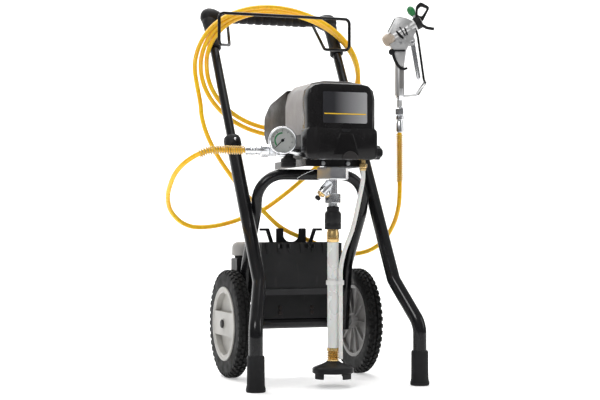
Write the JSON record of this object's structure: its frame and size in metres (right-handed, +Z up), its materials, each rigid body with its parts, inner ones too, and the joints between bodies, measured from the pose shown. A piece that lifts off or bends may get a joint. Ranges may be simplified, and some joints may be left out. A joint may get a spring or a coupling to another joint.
{
  "type": "airless paint sprayer on a wheeled cart",
  "caption": "Electric airless paint sprayer: piston pump and motor on a two-wheeled tube cart with telescopic handle, suction tube, tool tray, coiled hose and spray gun.",
  "frame": {"origin": "on the floor under the middle of the whole object, its free hose not counted", "axes": "+Z up, -Y towards the feet and the pump, +X to the right seen from the front, along the axle"},
  "size_m": [0.6846, 0.5283, 0.908],
  "materials": {
    "frame_paint": "gloss black powder coat",
    "rubber": "matt",
    "tyre_rubber": "matt",
    "black_plastic": "gloss",
    "chrome": "polished",
    "grey_plastic": "satin",
    "dark_plastic": "matt",
    "black_steel": "satin black",
    "steel": "machined",
    "aluminium": "satin",
    "clear_plastic": "milky",
    "white_plastic": "smooth",
    "brass": "machined",
    "hose_yellow": "smooth",
    "green_plastic": "smooth"
  },
  "bodies": {
    "cart": {"main_tube_left": "frame_paint", "main_tube_right": "frame_paint", "support_frame": "frame_paint", "axle_beam": "frame_paint", "foot_left": "rubber", "foot_right": "rubber", "collar_left": "black_plastic", "collar_right": "black_plastic", "front_cover": "black_plastic", "suction_coupling": "black_plastic", "strainer": "black_plastic", "outlet_manifold": "chrome", "gauge_case": "chrome", "hose_fitting_outlet": "chrome", "hose_fitting_gun": "chrome", "inlet_valve": "chrome", "pump_head": "chrome", "oil_bottle": "grey_plastic", "shroud": "grey_plastic", "tool_tray": "dark_plastic", "label_plate": "dark_plastic", "rear_cover": "dark_plastic", "tray_back_plate": "black_steel", "tray_bracket": "black_steel", "base_plate": "black_steel", "axle_shaft": "steel", "motor_stator": "steel", "drive_housing": "aluminium", "suction_tube": "clear_plastic", "return_tube": "white_plastic", "tube_clip": "white_plastic", "return_fitting": "brass", "hose_run_outlet": "hose_yellow", "hose_rise": "hose_yellow", "hose_drop": "hose_yellow", "hose_run_gun": "hose_yellow"},
    "handle": {"inner_tube_left": "frame_paint", "inner_tube_right": "frame_paint", "handle_grip": "rubber", "hose_hanger": "frame_paint", "hose_coil": "hose_yellow"},
    "wheel_left": {"tyre_left": "tyre_rubber", "rim_left": "grey_plastic"},
    "wheel_right": {"tyre_right": "tyre_rubber", "rim_right": "grey_plastic"},
    "button_left": {"lock_button_left": "chrome"},
    "button_right": {"lock_button_right": "chrome"},
    "rotor": {"motor_rotor": "steel"},
    "crank": {"crankshaft": "steel"},
    "piston": {"piston": "steel"},
    "pusher": {"inlet_pusher": "black_plastic"},
    "needle": {"gauge_needle": "black_plastic"},
    "knob": {"control_knob": "black_plastic"},
    "gun": {"gun_body": "aluminium"},
    "trigger": {"gun_trigger": "chrome"},
    "lock": {"gun_trigger_lock": "black_plastic"},
    "tip_guard": {"gun_tip_guard": "black_plastic"},
    "tip": {"gun_spray_tip": "green_plastic"}
  },
  "joints": [
    {"name": "handle_slide", "type": "slide", "parent": "cart", "child": "handle", "axis": [0, 0.5402, 0.8415], "range_m": [-0.21, 0], "deforming": ["hose_rise", "hose_drop"]},
    {"name": "wheel_left_spin", "type": "hinge", "parent": "cart", "child": "wheel_left", "pos_m": [-0.22196, 0.04935, 0.127], "axis": [1, 0, 0], "continuous": true},
    {"name": "wheel_right_spin", "type": "hinge", "parent": "cart", "child": "wheel_right", "pos_m": [0.10004, 0.04935, 0.127], "axis": [1, 0, 0], "continuous": true},
    {"name": "button_left_press", "type": "slide", "parent": "cart", "child": "button_left", "axis": [0, 0.8415, -0.5402], "range_m": [0, 0.0024], "stiffness_N_per_m": 600},
    {"name": "button_right_press", "type": "slide", "parent": "cart", "child": "button_right", "axis": [0, 0.8415, -0.5402], "range_m": [0, 0.0024], "stiffness_N_per_m": 600},
    {"name": "motor_spin", "type": "hinge", "parent": "cart", "child": "rotor", "pos_m": [-0.06096, -0.06065, 0.6025], "axis": [0, 1, 0], "continuous": true},
    {"name": "crank_spin", "type": "hinge", "parent": "cart", "child": "crank", "pos_m": [-0.06096, -0.17065, 0.57], "axis": [0, 1, 0], "continuous": true},
    {"name": "piston_slide", "type": "slide", "parent": "cart", "child": "piston", "axis": [0, 0, 1], "range_m": [0, 0.008]},
    {"name": "inlet_push", "type": "slide", "parent": "cart", "child": "pusher", "axis": [0.6574, 0, 0.7536], "range_m": [0, 0.004], "stiffness_N_per_m": 500},
    {"name": "needle_turn", "type": "hinge", "parent": "cart", "child": "needle", "pos_m": [-0.1885, -0.22853, 0.543], "axis": [0.2588, 0.9659, 0], "range_deg": [0, 270], "stiffness_Nm_per_rad": 0.002},
    {"name": "knob_turn", "type": "hinge", "parent": "cart", "child": "knob", "pos_m": [0.04704, -0.19665, 0.522], "axis": [1, 0, 0], "range_deg": [-135, 135]},
    {"name": "gun_swivel", "type": "hinge", "parent": "cart", "child": "gun", "pos_m": [0.19504, 0.00935, 0.65], "axis": [0, 0, 1], "continuous": true},
    {"name": "trigger_pull", "type": "hinge", "parent": "gun", "child": "trigger", "pos_m": [0.22421, -0.00115, 0.802], "axis": [0.3387, 0.9409, 0], "range_deg": [0, 15], "stiffness_Nm_per_rad": 0.6},
    {"name": "trigger_lock_turn", "type": "hinge", "parent": "gun", "child": "lock", "pos_m": [0.17148, 0.00295, 0.778], "axis": [0.3387, 0.9409, 0], "range_deg": [-45, 0]},
    {"name": "tip_guard_turn", "type": "hinge", "parent": "gun", "child": "tip_guard", "pos_m": [0.23741, -0.0059, 0.851], "axis": [0.8148, -0.2934, 0.5], "range_deg": [-90, 90]},
    {"name": "tip_turn", "type": "hinge", "parent": "tip_guard", "child": "tip", "pos_m": [0.23741, -0.0059, 0.851], "axis": [-0.4704, 0.1694, 0.866], "range_deg": [0, 180]}
  ],
  "couplings": [
    {"joint": "motor_spin", "follows": "crank_spin", "ratio": -4.3333}
  ]
}
